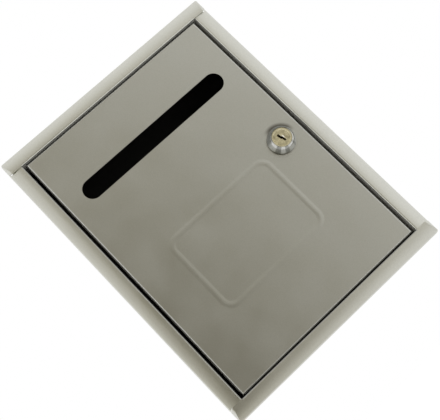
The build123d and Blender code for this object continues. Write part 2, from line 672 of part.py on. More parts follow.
def lock_wafers():
    """Stamped wafers, each with a key window and a side ear over its spring."""
    wafers = []
    for index in range(WAFER_COUNT):
        z = wafer_place(index)
        plate = Rectangle(WAFER_WIDTH, WAFER_HEIGHT)
        ear_y = -SPRING_LENGTH / 2 - WAFER_EAR_HEIGHT / 2
        ear = Pos(WAFER_WIDTH / 2, ear_y) * Rectangle(2 * WAFER_EAR, WAFER_EAR_HEIGHT)
        lift = (index % 3 - 1) * WAFER_CUT_STEP
        window = Pos(0, lift) * Rectangle(WAFER_WINDOW_WIDTH, WAFER_WINDOW_HEIGHT)
        shape = extrude(plate + ear - window, WAFER_SHEET / 2, both=True)
        wafers.append(LOCK_FRAME * (Pos(0, 0, z) * shape))
    return Compound(children=wafers)


def wafer_springs():
    """One small compression spring beside each wafer, standing along local Y."""
    springs = []
    height = SPRING_LENGTH - 2 * SPRING_WIRE - 2 * SPRING_POCKET_GAP
    helix = Helix(pitch=height / SPRING_TURNS, height=height, radius=SPRING_RADIUS)
    section = Plane(origin=helix @ 0, z_dir=helix % 0) * RegularPolygon(SPRING_WIRE, SPRING_WIRE_SIDES)
    coil = Rot(-90, 0, 0) * sweep(section, helix)
    for index in range(WAFER_COUNT):
        place = Pos(spring_x(), -height / 2 + SPRING_POCKET_GAP, wafer_place(index))
        springs.append(LOCK_FRAME * (place * coil))
    return Compound(children=springs)


def lock_washer():
    """Toothed washer that bites into the door behind the nut."""
    inner = BARREL_RADIUS + NUT_GAP
    low = SHEET + CLAMP_GAP
    washer = ring(LOCK_WASHER_RADIUS, inner, low, low + LOCK_WASHER_THICKNESS - CLAMP_GAP)
    middle = low + (LOCK_WASHER_THICKNESS - CLAMP_GAP) / 2
    for index in range(LOCK_WASHER_TEETH):
        tooth = Box(2 * LOCK_WASHER_TOOTH, LOCK_WASHER_TOOTH_WIDTH, LOCK_WASHER_THICKNESS - CLAMP_GAP)
        turn = Rot(0, 0, 360 / LOCK_WASHER_TEETH * index)
        washer += turn * (Pos(LOCK_WASHER_RADIUS, 0, middle) * tooth)
    return LOCK_FRAME * washer


def lock_nut():
    """Thin hexagon nut that clamps the housing to the door."""
    low = SHEET + LOCK_WASHER_THICKNESS + CLAMP_GAP
    across_corners = NUT_FLATS / cos(radians(30)) / 2
    nut = extrude(RegularPolygon(across_corners, 6), NUT_THICKNESS)
    crown = Cylinder(across_corners, NUT_THICKNESS, align=(Align.CENTER, Align.CENTER, Align.MIN))
    crown = chamfer(crown.edges().group_by(Axis.Z)[-1], NUT_CHAMFER, NUT_CHAMFER_REACH)
    nut &= crown
    nut -= Cylinder(BARREL_RADIUS + NUT_GAP, 4 * NUT_THICKNESS)
    return LOCK_FRAME * (Pos(0, 0, low) * nut)


def cam_stop_disc():
    """Disc on the square drive, cut away where the housing's lug stops it."""
    disc = Pos(0, 0, SHOULDER + STOP_DISC_THICKNESS / 2) * Cylinder(STOP_DISC_RADIUS, STOP_DISC_THICKNESS)
    gap = ring(2 * STOP_DISC_RADIUS, STOP_LUG_INNER - STOP_LUG_GAP, SHOULDER - CUT_MARGIN, CAM_REAR)
    # Turning from down to the right carries the disc against local +Y to +X.
    start = -90 - STOP_LUG_ANGLE / 2 - STOP_PLAY_ANGLE
    sweep_angle = STOP_LUG_ANGLE + LOCK_TURN + 2 * STOP_PLAY_ANGLE
    disc -= gap & wedge(start, sweep_angle)
    side = DRIVE_SIDE + 2 * DRIVE_GAP
    disc -= block(-side / 2, side / 2, -side / 2, side / 2, SHOULDER - CUT_MARGIN, CAM_REAR)
    return LOCK_FRAME * disc


def lock_cam():
    """Flat cam on the square drive, hanging down when the lock is open."""
    hub = Circle(CAM_HUB_RADIUS)
    arm = Rectangle(CAM_WIDTH, CAM_REACH)
    arm = fillet(arm.vertices().group_by(Axis.Y)[-1], CAM_CORNER)
    arm = Pos(0, CAM_REACH / 2) * arm
    side = DRIVE_SIDE + 2 * DRIVE_GAP
    cam = extrude(hub + arm - Rectangle(side, side), CAM_THICKNESS)
    return LOCK_FRAME * (Pos(0, 0, CAM_FRONT) * cam)


def cam_washer():
    """Split spring washer under the screw."""
    washer = ring(CAM_WASHER_RADIUS, SCREW_RADIUS + SCREW_FIT, CAM_REAR, CAM_REAR + CAM_WASHER_THICKNESS)
    slit = Box(CAM_WASHER_SPLIT, 2 * CAM_WASHER_RADIUS, 6 * CAM_WASHER_THICKNESS)
    split = Rot(0, CAM_WASHER_SPLIT_ANGLE, 0) * slit
    washer -= Pos(0, CAM_WASHER_RADIUS, CAM_REAR + CAM_WASHER_THICKNESS / 2) * split
    return LOCK_FRAME * washer


def cam_screw():
    """Pan-head screw with a cross recess, into the plug's tapped end."""
    seat = CAM_REAR + CAM_WASHER_THICKNESS
    end = CAM_REAR - SCREW_LENGTH
    head = Pos(0, 0, seat + SCREW_HEAD_HEIGHT / 2) * Cylinder(SCREW_HEAD_RADIUS, SCREW_HEAD_HEIGHT)
    head = fillet(head.edges().group_by(Axis.Z)[-1], SCREW_HEAD_HEIGHT * 0.5)
    shank = Pos(0, 0, (seat + end) / 2) * Cylinder(SCREW_RADIUS, seat - end)
    screw = head + chamfer(shank.edges().group_by(Axis.Z)[0], SCREW_TIP_CHAMFER)
    bottom = seat + SCREW_HEAD_HEIGHT - SCREW_RECESS_DEPTH
    for size in ((SCREW_RECESS_LENGTH, SCREW_RECESS_WIDTH), (SCREW_RECESS_WIDTH, SCREW_RECESS_LENGTH)):
        screw -= Pos(0, 0, bottom + SCREW_RECESS_DEPTH) * Box(size[0], size[1], 2 * SCREW_RECESS_DEPTH)
    return LOCK_FRAME * screw


def upside_down(shape):
    """The same piece at the bottom of the box."""
    return mirror(shape, Plane.XY)


keeper_grip = SHEET + LAP_GAP + KEEPER_SHEET
stop_grip = SHEET + LAP_GAP + STOP_SHEET

parts = {
    "body_wrap": body_wrap(),
    "top_panel": end_panel(),
    "bottom_panel": upside_down(end_panel()),
    "top_panel_rivets": end_panel_rivets(),
    "bottom_panel_rivets": upside_down(end_panel_rivets()),
    "hinge_pin_upper": hinge_pin(),
    "hinge_pin_lower": upside_down(hinge_pin()),
    "hinge_washer_upper": hinge_washer(),
    "hinge_washer_lower": upside_down(hinge_washer()),
    "latch_keeper": latch_keeper(),
    "keeper_rivets": Compound(children=[side_rivet(*place, keeper_grip) for place in keeper_rivet_places()]),
    "door_stop_upper": door_stop(1),
    "door_stop_lower": door_stop(-1),
    "door_stop_rivets": Compound(children=[side_rivet(*place, stop_grip) for place in stop_rivet_places()]),
    "door_panel": door_panel(),
    "lock_housing": LOCK_FRAME * lock_housing(),
    "lock_washer": lock_washer(),
    "lock_nut": lock_nut(),
    "lock_plug": lock_plug(),
    "lock_wafers": lock_wafers(),
    "wafer_springs": wafer_springs(),
    "cam_stop_disc": cam_stop_disc(),
    "lock_cam": lock_cam(),
    "cam_washer": cam_washer(),
    "cam_screw": cam_screw(),
}

os.makedirs("parts", exist_ok=True)
for name, shape in parts.items():
    export_step(shape, f"parts/{name}.step")
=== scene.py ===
"""A lockable wall mailbox in painted sheet steel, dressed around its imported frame."""
import json
import math

import bmesh
import bpy
from mathutils import Matrix, Quaternion, Vector


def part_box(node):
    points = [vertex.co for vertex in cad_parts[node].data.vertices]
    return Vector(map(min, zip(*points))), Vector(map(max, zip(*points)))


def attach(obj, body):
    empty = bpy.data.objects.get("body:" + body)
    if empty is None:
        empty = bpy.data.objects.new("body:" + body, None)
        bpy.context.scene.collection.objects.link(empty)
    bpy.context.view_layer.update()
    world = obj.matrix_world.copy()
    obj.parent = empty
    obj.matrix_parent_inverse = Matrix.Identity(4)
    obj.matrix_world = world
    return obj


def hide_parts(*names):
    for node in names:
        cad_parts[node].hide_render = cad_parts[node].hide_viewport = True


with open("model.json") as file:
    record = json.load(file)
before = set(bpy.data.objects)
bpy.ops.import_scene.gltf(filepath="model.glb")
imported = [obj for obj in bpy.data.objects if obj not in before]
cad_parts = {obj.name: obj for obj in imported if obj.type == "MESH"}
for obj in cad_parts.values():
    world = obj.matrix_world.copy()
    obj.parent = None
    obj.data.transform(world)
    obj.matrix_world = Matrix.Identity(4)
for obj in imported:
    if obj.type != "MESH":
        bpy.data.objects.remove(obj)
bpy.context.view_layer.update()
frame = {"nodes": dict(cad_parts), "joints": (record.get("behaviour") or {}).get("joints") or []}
nodes = frame["nodes"]
scene = bpy.context.scene
MM = 0.001


# The camera is held in front of the door, a little to its left and below it, and
# is turned so that the box stands on one corner in the picture.
CAMERA_PLACE = Vector((-141.7, -758.0, -162.7)) * MM
CAMERA_AIM = Vector((-5.1, -70.0, -8.7)) * MM
CAMERA_ROLL = math.radians(-44.83)
FOCAL_LENGTH = 979  # in pixels of a picture PICTURE_WIDTH across
PICTURE_WIDTH = 440

lens = bpy.data.cameras.new("camera")
lens.lens = lens.sensor_width * FOCAL_LENGTH / PICTURE_WIDTH
camera = bpy.data.objects.new("camera", lens)
scene.collection.objects.link(camera)
scene.camera = camera
looking = (CAMERA_AIM - CAMERA_PLACE).to_track_quat("-Z", "Y")
camera.rotation_mode = "QUATERNION"
camera.rotation_quaternion = looking @ Quaternion((0, 0, 1), CAMERA_ROLL)
camera.location = CAMERA_PLACE
scene.view_settings.view_transform = "Standard"


# The studio is a white room. Two soft dark shapes hang in it behind the camera, and
# the satin paint takes its slow change from dark to light from them. What light comes
# from there is warm.
WHITE = (1.0, 1.0, 1.0, 1.0)
DARK_SHAPES = [
    # direction to its middle, lean in radians, breadth in x, y and z, darkness
    ((0.032, -0.992, -0.124), 0.051, (0.150, 0.5, 0.758), 0.97),
    ((-0.272, -0.959, -0.083), 1.071, (0.295, 0.5, 0.615), 0.97),
]
WARMTH = {"Red": 1.0, "Green": 1.08, "Blue": 1.38}  # powers of the brightness


def add_node(tree, kind, inputs=None, **settings):
    """One node: its settings, and inputs that are values, sockets or nodes, whose first output is taken."""
    node = tree.nodes.new(kind if kind.startswith("Geometry") else "ShaderNode" + kind)
    for name, value in settings.items():
        setattr(node, name, value)
    for name, value in (inputs or {}).items():
        if isinstance(value, bpy.types.Node):
            value = value.outputs[0]
        if isinstance(value, bpy.types.NodeSocket):
            tree.links.new(value, node.inputs[name])
        else:
            node.inputs[name].default_value = value
    return node


world = bpy.data.worlds.new("white_room")
scene.world = world
world.use_nodes = True
room = world.node_tree
room.nodes.clear()
direction = add_node(room, "TexCoord").outputs["Generated"]
brightness = 1.0
for middle, lean, breadth, darkness in DARK_SHAPES:
    shape = {"Vector": direction, "Location": middle, "Rotation": (0, lean, 0), "Scale": breadth}
    placed = add_node(room, "Mapping", shape, vector_type="TEXTURE")
    far = add_node(room, "VectorMath", {0: placed}, operation="LENGTH").outputs["Value"]
    squared = add_node(room, "Math", {0: far, 1: 2.0}, operation="POWER")
    falling = add_node(room, "Math", {0: 1 / math.e, 1: squared}, operation="POWER")
    left_over = add_node(room, "Math", {0: falling, 1: -darkness, 2: 1.0}, operation="MULTIPLY_ADD")
    brightness = add_node(room, "Math", {0: brightness, 1: left_over}, operation="MULTIPLY")
tints = {}
for name, power in WARMTH.items():
    tints[name] = add_node(room, "Math", {0: brightness, 1: power}, operation="POWER")
lit_room = add_node(room, "Background", {"Color": add_node(room, "CombineColor", tints)})
seen_room = add_node(room, "Background", {"Color": WHITE})
seen = add_node(room, "LightPath").outputs["Is Camera Ray"]
both_rooms = add_node(room, "MixShader", {0: seen, 1: lit_room, 2: seen_room})
add_node(room, "OutputWorld", {"Surface": both_rooms})


# The floor is a white board well below the box, which hangs with no wall behind. It
# glows a little for the camera alone, so that it stays white, and the paint mirrors
# the room and not the board.
FLOOR_DROP = 0.30
FLOOR_SIZE = 6.0
FLOOR_WHITE = (0.8, 0.8, 0.8, 1.0)
FLOOR_GLOW = 0.3

corners = [(-1, -1), (1, -1), (1, 1), (-1, 1)]
corners = [(x * FLOOR_SIZE / 2, y * FLOOR_SIZE / 2, -FLOOR_DROP) for x, y in corners]
board = bpy.data.meshes.new("floor")
board.from_pydata(corners, [], [range(len(corners))])
floor = bpy.data.objects.new("floor", board)
scene.collection.objects.link(floor)
floor.visible_glossy = False
white_board = bpy.data.materials.new("white_board")
white_board.use_nodes = True
tree = white_board.node_tree
tree.nodes.clear()
matte = add_node(tree, "BsdfDiffuse", {"Color": FLOOR_WHITE})
seen = add_node(tree, "LightPath").outputs["Is Camera Ray"]
glow_strength = add_node(tree, "Math", {0: seen, 1: FLOOR_GLOW}, operation="MULTIPLY")
glow = add_node(tree, "Emission", {"Strength": glow_strength})
add_node(tree, "OutputMaterial", {"Surface": add_node(tree, "AddShader", {0: matte, 1: glow})})
board.materials.append(white_board)


# The box is three folded sheets of 0.8 mm cold-rolled steel under silver metallic
# stoving paint. Its aluminium flake gives a soft sheen with no mirror in it. Past the
# opening the colour darkens with depth to near-black: painted shade for the inside.
SHEET = 0.8 * MM
BOX_SILVER = ("D0D0C9", "D8D8D0")
# Painted shade inside the box: a grey near the opening, near-black deeper in.
INSIDE_SHADE_GREY = "ABAAA3"
FOLD_SHADE = "45443F"  # painted shade over the fold
INSIDE_SHADE = "211F1D"
FLAKE = 0.35 * MM  # coarser than real flake, so that it shows
CLOUD = 26 * MM
NOISE_SPAN = {"From Min": 0.3, "From Max": 0.7}  # most of what a noise gives
SATIN = (0.30, 0.35)  # roughness
INSIDE_SHADE_ROUGHNESS = 0.3  # above that of the silver
METALLIC = 0.97
INSIDE_SHADE_METALLIC = 0.07
DUST = 0.9 * MM  # specks of full silver in the painted grey shade
DUST_SPAN = {"From Min": 0.4, "From Max": 0.7}
DUST_STRENGTH = 0.3
ORANGE_PEEL = (2.4 * MM, 0.010 * MM)  # breadth and depth
OIL_CANNING = (80 * MM, 0.45 * MM)  # the slow waves of a thin sheet
SHADE_DEPTHS = (8 * MM, 24 * MM)  # depths at which the painted shade starts to turn near-black, and is near-black
FOLD_SHADE_REACH = (1.0 * MM, 2.2 * MM)
FOLD_SOFTNESS = 0.06 * MM
LIT_FOLD = 0.8 * MM  # depth to which silver covers the folds that face the light
SHADED_FOLD = 0.06 * MM
FOLD_START = 0.03 * MM  # depth at which painted shade starts on the folds that face away from the light
FOLD_BREADTH = 0.7 * MM  # of the fold's start, outside the hidden space
# Strength of the painted shade over the start of those folds.
FOLD_TONE = 0.5
X_AXIS = 0
Z_AXIS = 2


def linear(hex_colour):
    """An sRGB hex colour as the linear colour that a shader takes."""
    parts = [int(hex_colour[i : i + 2], 16) / 255 for i in (0, 2, 4)]
    return tuple(p / 12.92 if p <= 0.04045 else ((p + 0.055) / 1.055) ** 2.4 for p in parts) + (1.0,)


def new_material(name, **sockets):
    """A material with its tree, its shader and the mesh's own coordinates."""
    material = bpy.data.materials.new(name)
    material.use_nodes = True
    shader = material.node_tree.nodes["Principled BSDF"]
    for socket, value in sockets.items():
        shader.inputs[socket.replace("_", " ")].default_value = value
    place = add_node(material.node_tree, "TexCoord").outputs["Object"]
    return material, material.node_tree, shader, place


def give(material, *names):
    """The material for these nodes of the frame."""
    for name in names:
        nodes[name].data.materials.clear()
        nodes[name].data.materials.append(material)


def between(tree, place, lo, hi, strength=1.0):
    """A mask that has this strength inside the box from lo to hi, with soft edges."""
    offset = add_node(tree, "VectorMath", {0: place, 1: (lo + hi) / 2}, operation="SUBTRACT")
    offset = add_node(tree, "VectorMath", {0: offset}, operation="ABSOLUTE")
    beyond = add_node(tree, "VectorMath", {0: offset, 1: (hi - lo) / 2}, operation="SUBTRACT")
    x, y, z = add_node(tree, "SeparateXYZ", {0: beyond}).outputs
    most = add_node(tree, "Math", {0: x, 1: y}, operation="MAXIMUM")
    most = add_node(tree, "Math", {0: most, 1: z}, operation="MAXIMUM")
    mask = {"Value": most, "From Min": FOLD_SOFTNESS, "From Max": -FOLD_SOFTNESS, "To Max": strength}
    return add_node(tree, "MapRange", mask)


def silver_paint(name, silver, hidden_places, front, shadow_mask=None):
    """Silver stoving paint outside, and painted shade that darkens with depth in the hidden places behind
    front.

    The last argument makes the mask of a painted shadow."""
    material, tree, shader, place = new_material(name)
    flakes = add_node(tree, "TexVoronoi", {"Vector": place, "Scale": 1 / FLAKE})
    facing = add_node(tree, "SeparateColor", {0: flakes.outputs["Color"]})
    paint = {0: facing, 6: linear(silver[0]), 7: linear(silver[1])}
    paint = add_node(tree, "Mix", paint, data_type="RGBA").outputs[2]
    if shadow_mask:
        shadow_masked = {0: shadow_mask(tree, place), 6: paint, 7: linear(PAINTED_SHADOW)}
        paint = add_node(tree, "Mix", shadow_masked, data_type="RGBA").outputs[2]
    hidden = 0.0
    for hidden_place in hidden_places:
        mask = between(tree, place, *hidden_place)
        hidden = add_node(tree, "Math", {0: hidden, 1: mask}, operation="MAXIMUM")
    # Painted shade behind the front: a dark band over the fold, then grey, then near-black deeper in.
    depth = add_node(tree, "SeparateXYZ", {0: place}).outputs["Y"]
    reach = {"Value": depth, "From Min": front + SHADE_DEPTHS[0], "From Max": front + SHADE_DEPTHS[1]}
    gone = add_node(tree, "MapRange", reach)
    specks = add_node(tree, "TexNoise", {"Vector": place, "Scale": 1 / DUST, "Detail": 3.0})
    dusty = add_node(tree, "MapRange", {"Value": specks, "To Max": DUST_STRENGTH, **DUST_SPAN})
    inner_grey = {0: dusty, 6: linear(INSIDE_SHADE_GREY), 7: linear(silver[0])}
    inner_grey = add_node(tree, "Mix", inner_grey, data_type="RGBA").outputs[2]
    inner = add_node(tree, "Mix", {0: gone, 6: inner_grey, 7: linear(INSIDE_SHADE)}, data_type="RGBA").outputs[2]
    edge = {"Value": depth, "From Min": front + FOLD_SHADE_REACH[0], "From Max": front + FOLD_SHADE_REACH[1]}
    past_edge = add_node(tree, "MapRange", edge)
    inner = add_node(tree, "Mix", {0: past_edge, 6: linear(FOLD_SHADE), 7: inner}, data_type="RGBA").outputs[2]
    colour = add_node(tree, "Mix", {0: hidden, 6: paint, 7: inner}, data_type="RGBA").outputs[2]
    tree.links.new(colour, shader.inputs["Base Color"])
    cloud = add_node(tree, "TexNoise", {"Vector": place, "Scale": 1 / CLOUD, "Detail": 3.0})
    satin = {"Value": cloud, "To Min": SATIN[0], "To Max": SATIN[1], **NOISE_SPAN}
    satin = add_node(tree, "MapRange", satin)
    rough = add_node(tree, "Math", {0: hidden, 1: INSIDE_SHADE_ROUGHNESS, 2: satin}, operation="MULTIPLY_ADD")
    tree.links.new(rough.outputs[0], shader.inputs["Roughness"])
    metallic = {0: hidden, 1: INSIDE_SHADE_METALLIC - METALLIC, 2: METALLIC}
    metallic = add_node(tree, "Math", metallic, operation="MULTIPLY_ADD")
    tree.links.new(metallic.outputs[0], shader.inputs["Metallic"])
    wave = add_node(tree, "TexNoise", {"Vector": place, "Scale": 1 / OIL_CANNING[0], "Detail": 1.0})
    peel = add_node(tree, "TexNoise", {"Vector": place, "Scale": 1 / ORANGE_PEEL[0], "Detail": 2.0})
    waved = add_node(tree, "Bump", {"Height": wave, "Distance": OIL_CANNING[1]})
    peeled = add_node(tree, "Bump", {"Height": peel, "Distance": ORANGE_PEEL[1], "Normal": waved})
    tree.links.new(peeled.outputs[0], shader.inputs["Normal"])
    return material


wrap_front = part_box("body_wrap")[0].y
panel_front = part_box("top_panel")[0].y
opening_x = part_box("door_stop_upper")[1].x
opening_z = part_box("hinge_washer_upper")[1].z
inside = Vector((opening_x + SHEET / 2, -SHEET / 2, opening_z + SHEET / 2))


def inside_box(front, axis):
    """The hidden space between two walls on this axis, painted in shade; it starts sooner at the wall away
    from the light.
    """
    all_lo = -inside
    all_lo.y = front + LIT_FOLD
    shaded_lo = -inside
    shaded_lo.y = front + SHADED_FOLD
    shaded_hi = inside.copy()
    shaded_hi[axis] = 0
    # Painted shade over the fold away from the light, on the front of the sheet only, so that the outside of
    # the wall keeps its silver.
    fold_lo = -inside
    fold_lo.y = front + FOLD_START
    fold_lo[axis] -= FOLD_BREADTH
    fold_hi = inside.copy()
    fold_hi.y = front + SHEET / 2
    fold_hi[axis] = -inside[axis]
    return [(all_lo, inside), (shaded_lo, shaded_hi), (fold_lo, fold_hi, FOLD_TONE)]


wall_paint = silver_paint("stoved_silver_walls", BOX_SILVER, inside_box(wrap_front, X_AXIS), wrap_front)
end_paint = silver_paint("stoved_silver_ends", BOX_SILVER, inside_box(panel_front, Z_AXIS), panel_front)
give(wall_paint, "body_wrap")
give(end_paint, "top_panel", "bottom_panel")


# Blind rivets of aluminium hold the end panels, the keeper and the stops. Each has a
# domed head outside the wall. Its steel mandrel snapped off in the head, after it had
# drawn the tail out wide behind the inner sheet.
HEAD_RADIUS = 3.2 * MM
HEAD_HEIGHT = 1.0 * MM
HEAD_RIM = 0.15  # share of the height at which the rounding starts
DOME_BREADTH = 1.4 * MM
DOME_ANGLES = range(0, 91, 15)  # degrees
SHANK_RADIUS = 1.6 * MM
# Radius and height in millimetres, of the tail from the sheets' inner side and of the
# dished mouth with the mandrel's end in it.
TAIL_OUTLINE = [(0.0, -1.8), (1.2, -1.8), (2.0, -1.55), (2.4, -1.0), (2.25, -0.3), (1.9, 0.0), (1.6, 0.0)]
MOUTH_OUTLINE = [(1.15, 1.0), (0.95, 0.9), (0.90, 0.35), (0.80, 0.35), (0.55, 0.50), (0.0, 0.45)]
TURNED_STEPS = 32
WELD_DISTANCE = 0.001 * MM
PLACES = 5  # decimal places of a metre to which a rivet is set
DRAWN_ALUMINIUM = ("DCDDDD", "AEB0B1")
DRAWN_SHEEN = (0.22, 0.45)  # roughness
HANDLING = (1.1 * MM, 0.01 * MM)  # breadth and depth of its marks
LAP_GAP = 0.05 * MM  # between pieces that touch
RIVETED_SHEETS = {
    # thickness of the sheets that each group of rivets holds
    "top_panel_rivets": 1.70 * MM,
    "bottom_panel_rivets": 1.70 * MM,
    "keeper_rivets": 2.05 * MM,
    "door_stop_rivets": 1.85 * MM,
}


def turned(name, outline):
    """A closed mesh turned about Z, from points (radius, height) that start and end on the axis."""
    shape = bmesh.new()
    line = [shape.verts.new((radius, 0, height)) for radius, height in outline]
    edges = [shape.edges.new(pair) for pair in zip(line, line[1:])]
    full_turn = {"axis": (0, 0, 1), "steps": TURNED_STEPS, "angle": math.tau, "use_merge": True}
    bmesh.ops.spin(shape, geom=line + edges, **full_turn)
    bmesh.ops.remove_doubles(shape, verts=shape.verts, dist=WELD_DISTANCE)
    bmesh.ops.recalc_face_normals(shape, faces=shape.faces)
    for face in shape.faces:
        face.smooth = True
    mesh = bpy.data.meshes.new(name)
    shape.to_mesh(mesh)
    shape.free()
    return mesh


def rivet(grip):
    """A set rivet through sheets of this thickness, with its head above nought."""
    outline = [(radius * MM, height * MM - grip) for radius, height in TAIL_OUTLINE]
    outline += [(SHANK_RADIUS, 0.0), (HEAD_RADIUS, 0.0)]
    for degrees in DOME_ANGLES:
        turn = math.radians(degrees)
        rounding = DOME_BREADTH * (1 - math.cos(turn))
        share = HEAD_RIM + (1 - HEAD_RIM) * math.sin(turn)
        outline.append((HEAD_RADIUS - rounding, HEAD_HEIGHT * share))
    outline += [(radius * MM, height * MM) for radius, height in MOUTH_OUTLINE]
    return turned("rivet", outline)


def head_middles(lo, hi):
    """Where the heads of a group stand between its two ends: at both, or one halfway."""
    first = round(lo + HEAD_RADIUS, PLACES)
    last = round(hi - HEAD_RADIUS, PLACES)
    return [first, last] if last - first > HEAD_RADIUS else [(lo + hi) / 2]


def geometry_tree(name, **sockets):
    """A geometry tree with these inputs, what its first node gives, and what its last takes."""
    tree = bpy.data.node_groups.new(name, "GeometryNodeTree")
    for socket, kind in {"Geometry": "Geometry", **sockets}.items():
        tree.interface.new_socket(socket, in_out="INPUT", socket_type="NodeSocket" + kind)
    tree.interface.new_socket("Geometry", in_out="OUTPUT", socket_type="NodeSocketGeometry")
    return tree, tree.nodes.new("NodeGroupInput").outputs, tree.nodes.new("NodeGroupOutput").inputs


def finish_tree(tree, instances, material, result):
    """Makes the instances real and gives them their material."""
    real = add_node(tree, "GeometryNodeRealizeInstances", {0: instances})
    dressed = add_node(tree, "GeometryNodeSetMaterial", {"Geometry": real, "Material": material})
    tree.links.new(dressed.outputs[0], result[0])


def grown(name, mesh, tree, **values):
    """A plain piece: what the tree makes of a mesh with these values."""
    seed = bpy.data.objects.new(name + "_seed", mesh)
    scene.collection.objects.link(seed)
    modifier = seed.modifiers.new("grown", "NODES")
    modifier.node_group = tree
    for socket in tree.interface.items_tree:
        if socket.in_out == "INPUT" and socket.name in values:
            modifier[socket.identifier] = values[socket.name]
    evaluated = bpy.context.evaluated_depsgraph_get()
    plain = bpy.data.meshes.new_from_object(seed.evaluated_get(evaluated), depsgraph=evaluated)
    bpy.data.objects.remove(seed)
    piece = bpy.data.objects.new(name, plain)
    scene.collection.objects.link(piece)
    return piece


rivet_tree, given, result = geometry_tree("rivets_in_walls", Rivet="Object", Finish="Material")
one_rivet = add_node(rivet_tree, "GeometryNodeObjectInfo", {"Object": given["Rivet"]}).outputs["Geometry"]
across = add_node(rivet_tree, "SeparateXYZ", {0: add_node(rivet_tree, "GeometryNodeInputPosition")})
side = add_node(rivet_tree, "Math", {0: across}, operation="SIGN")
outwards = add_node(rivet_tree, "Math", {0: side, 1: math.pi / 2}, operation="MULTIPLY")
turn = add_node(rivet_tree, "CombineXYZ", {"Y": outwards})
on_wall = {"Points": given["Geometry"], "Instance": one_rivet, "Rotation": turn}
set_rivets = add_node(rivet_tree, "GeometryNodeInstanceOnPoints", on_wall)
finish_tree(rivet_tree, set_rivets, given["Finish"], result)

rivet_metal, tree, shader, place = new_material("drawn_aluminium", Metallic=1.0)
handled = add_node(tree, "TexNoise", {"Vector": place, "Scale": 1 / HANDLING[0], "Detail": 4.0})
dulled = {0: handled, 6: linear(DRAWN_ALUMINIUM[0]), 7: linear(DRAWN_ALUMINIUM[1])}
dulled = add_node(tree, "Mix", dulled, data_type="RGBA")
tree.links.new(dulled.outputs[2], shader.inputs["Base Color"])
rub_and_highlight = {"Value": handled, "To Min": DRAWN_SHEEN[0], "To Max": DRAWN_SHEEN[1], **NOISE_SPAN}
tree.links.new(add_node(tree, "MapRange", rub_and_highlight).outputs[0], shader.inputs["Roughness"])
dimpled = add_node(tree, "Bump", {"Height": handled, "Distance": HANDLING[1]})
tree.links.new(dimpled.outputs[0], shader.inputs["Normal"])

wall_outside = opening_x + LAP_GAP + SHEET  # the stops stand just inside the wall
for name, grip in RIVETED_SHEETS.items():
    lo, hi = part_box(name)
    sides = (-1, 1) if lo.x < 0 else (1,)
    depths = head_middles(lo.y, hi.y)
    heights = head_middles(lo.z, hi.z)
    points = [(side * wall_outside, y, z) for side in sides for y in depths for z in heights]
    spots = bpy.data.meshes.new(name + "_spots")
    spots.from_pydata(points, [], [])
    sample = bpy.data.objects.new("rivet_sample", rivet(grip))
    scene.collection.objects.link(sample)
    piece = grown(name + "_set", spots, rivet_tree, Rivet=sample, Finish=rivet_metal)
    bpy.data.objects.remove(sample)
    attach(piece, "box")
    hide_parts(name)


# The door hangs on two shouldered steel rivets, with a black nylon washer between it
# and the box at each. The rivets are zinc plated and dull, and coloured darker as painted
# shade for the gap they sit in. The washers are turned from rod, and have the fine marks
# and soft shine of cut nylon.
CRYSTAL = 0.7 * MM  # coarser than a real bloom, so that it shows
CRYSTAL_CONTRAST = 0.08
PLATING_CLOUD = 5 * MM
PLATING_SPAN = {"From Min": 0.33, "From Max": 0.75}
SCRATCH = 1 * MM  # breadth before the grain narrows it, and still coarser than real
SCRATCH_DEPTH = 0.006 * MM
NYLON_BLACK = ("161616", "24242A")
TOOL_MARKS = (0.5 * MM, 0.01 * MM)  # breadth and depth


def plated(name, bright, dull, rough, grain):
    """Zinc-plated steel: a cloudy crystal bloom, with fine scratches along the sheet's grain."""
    material, tree, shader, place = new_material(name, Metallic=1.0)
    bloom = add_node(tree, "TexVoronoi", {"Vector": place, "Scale": 1 / CRYSTAL})
    patch = add_node(tree, "SeparateColor", {0: bloom.outputs["Color"]})
    cloud = add_node(tree, "TexNoise", {"Vector": place, "Scale": 1 / PLATING_CLOUD, "Detail": 4.0})
    mixed = add_node(tree, "Math", {0: patch, 1: CRYSTAL_CONTRAST, 2: cloud}, operation="MULTIPLY_ADD")
    uneven = add_node(tree, "MapRange", {"Value": mixed, **PLATING_SPAN})
    colour = add_node(tree, "Mix", {0: uneven, 6: linear(bright), 7: linear(dull)}, data_type="RGBA")
    tree.links.new(colour.outputs[2], shader.inputs["Base Color"])
    sheen = {"Value": uneven, "To Min": rough[0], "To Max": rough[1]}
    tree.links.new(add_node(tree, "MapRange", sheen).outputs[0], shader.inputs["Roughness"])
    drawn = add_node(tree, "Mapping", {"Vector": place, "Scale": grain})
    scratches = add_node(tree, "TexNoise", {"Vector": drawn, "Scale": 1 / SCRATCH, "Detail": 3.0})
    scratched = add_node(tree, "Bump", {"Height": scratches, "Distance": SCRATCH_DEPTH})
    tree.links.new(scratched.outputs[0], shader.inputs["Normal"])
    return material


dulled_zinc = plated("dulled_zinc", bright="8C8D8C", dull="5B5C5B", rough=(0.38, 0.55), grain=(3, 3, 3))
give(dulled_zinc, "hinge_pin_upper", "hinge_pin_lower")
nylon, tree, shader, place = new_material("black_nylon", Roughness=0.42, IOR=1.53)
marks = add_node(tree, "TexNoise", {"Vector": place, "Scale": 1 / TOOL_MARKS[0], "Detail": 3.0})
black = {0: marks, 6: linear(NYLON_BLACK[0]), 7: linear(NYLON_BLACK[1])}
black = add_node(tree, "Mix", black, data_type="RGBA")
tree.links.new(black.outputs[2], shader.inputs["Base Color"])
tooled = add_node(tree, "Bump", {"Height": marks, "Distance": TOOL_MARKS[1]})
tree.links.new(tooled.outputs[0], shader.inputs["Normal"])
give(nylon, "hinge_washer_upper", "hinge_washer_lower")


# The keeper and the two door stops are angles pressed from bright zinc-plated strip,
# with the strip's rolling lines running along them.
zinc_strip = plated("zinc_strip", bright="C9CCCE", dull="9B9FA2", rough=(0.24, 0.42), grain=(6, 6, 0.6))
give(zinc_strip, "latch_keeper", "door_stop_upper", "door_stop_lower")
